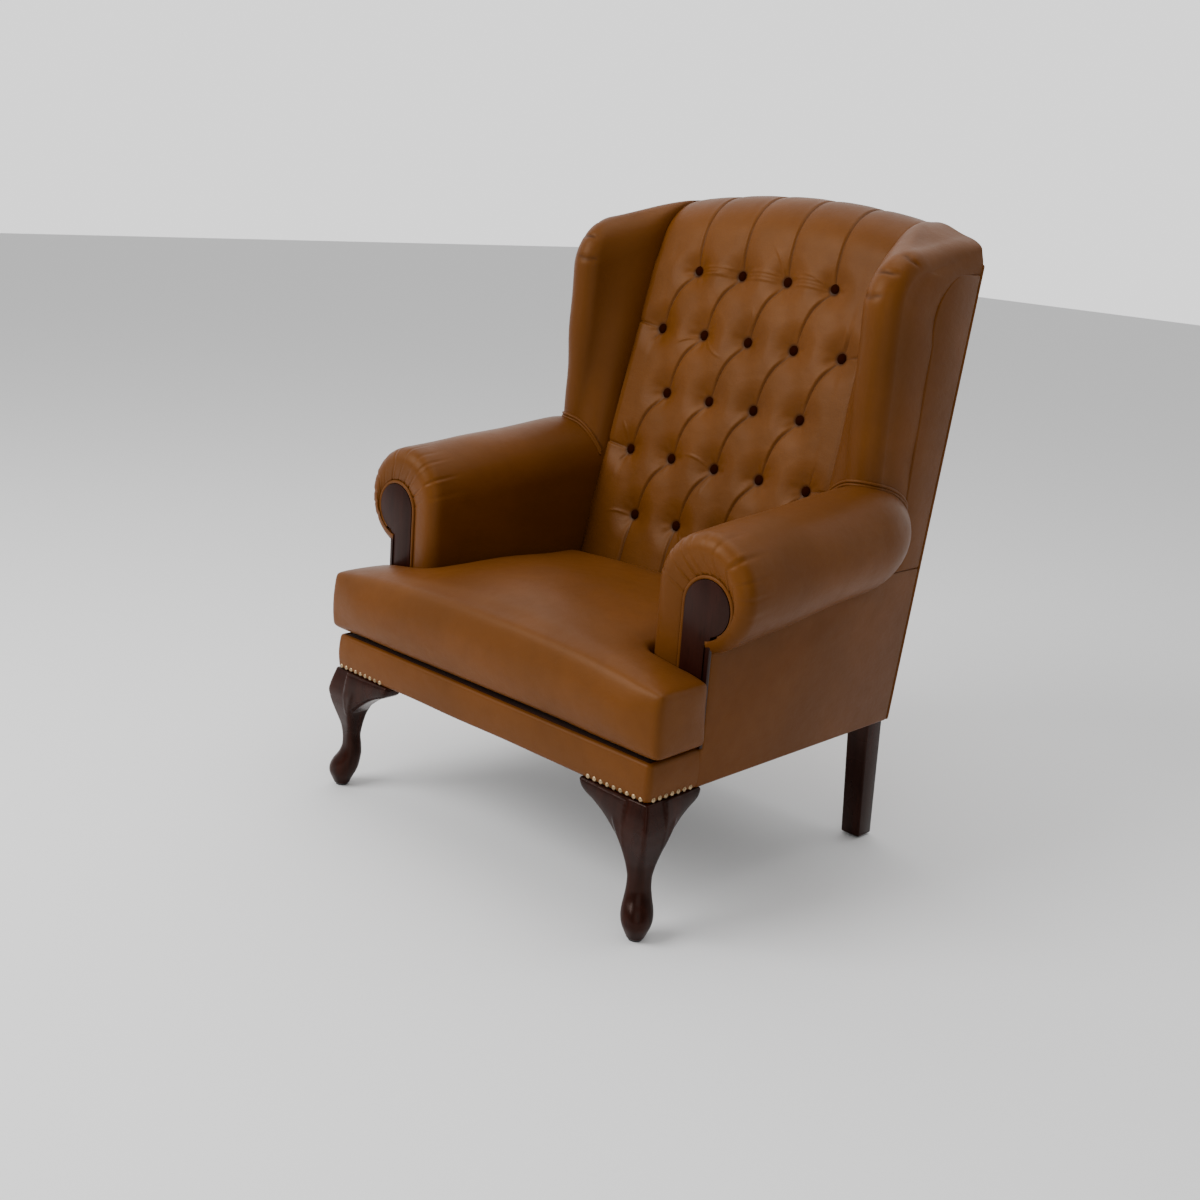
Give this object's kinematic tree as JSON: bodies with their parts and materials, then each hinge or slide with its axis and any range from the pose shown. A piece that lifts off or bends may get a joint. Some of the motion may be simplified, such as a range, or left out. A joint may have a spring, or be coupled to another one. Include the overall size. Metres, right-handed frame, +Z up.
{
  "type": "wing armchair",
  "caption": "High-back wing armchair in tan leather with a buttoned back, rolled arms, dark wood arm facings, a loose T cushion that lifts out and cabriole front legs.",
  "frame": {"origin": "on the floor, in the middle of the overall width and depth", "axes": "+X to the right as seen from the front, +Y to the rear, +Z up; the chair faces -Y"},
  "size_m": [0.9112, 0.7974, 1.1219],
  "materials": {
    "leather": "smooth, soft sheen",
    "show_wood": "dark polish",
    "frame_wood": "unfinished",
    "steel": "plain",
    "hessian": "woven",
    "foam": "foam",
    "brass": "antique",
    "glide": "matte",
    "dust_cloth": "woven"
  },
  "bodies": {
    "chair_frame": {"arm_facing_left": "show_wood", "arm_facing_right": "show_wood", "arm_pad_left": "leather", "arm_pad_right": "leather", "arm_post_left": "frame_wood", "arm_post_right": "frame_wood", "arm_rail_left": "frame_wood", "arm_rail_right": "frame_wood", "back_buttons": "leather", "back_pad": "leather", "back_post_left": "frame_wood", "back_post_right": "frame_wood", "back_tack_rail": "frame_wood", "back_webbing": "hessian", "brass_nails": "brass", "button_twines": "hessian", "crest_rail": "frame_wood", "deck_pad": "foam", "dust_cover": "dust_cloth", "facing_screws": "steel", "facing_welt_left": "leather", "facing_welt_right": "leather", "floor_glides": "glide", "frame_dowels": "frame_wood", "front_band": "leather", "front_corner_blocks": "frame_wood", "front_leg_left": "show_wood", "front_leg_right": "show_wood", "front_seat_rail": "frame_wood", "leg_bolts": "steel", "leg_nuts": "steel", "lower_back_rail": "frame_wood", "outside_arm_left": "leather", "outside_arm_right": "leather", "outside_back": "leather", "outside_wing_left": "leather", "outside_wing_right": "leather", "rear_corner_blocks": "frame_wood", "rear_leg_left": "show_wood", "rear_leg_right": "show_wood", "rear_seat_rail": "frame_wood", "seat_hessian": "hessian", "seat_springs": "steel", "side_seat_rail_left": "frame_wood", "side_seat_rail_right": "frame_wood", "spring_clips": "steel", "wing_board_left": "frame_wood", "wing_board_right": "frame_wood", "wing_pad_left": "leather", "wing_pad_right": "leather"},
    "seat_cushion": {"cushion_cover": "leather", "cushion_core": "foam"}
  },
  "joints": [
    {"name": "cushion_lift", "type": "slide", "parent": "chair_frame", "child": "seat_cushion", "axis": [0, 0, 1], "range_m": [0, 0.4]}
  ]
}
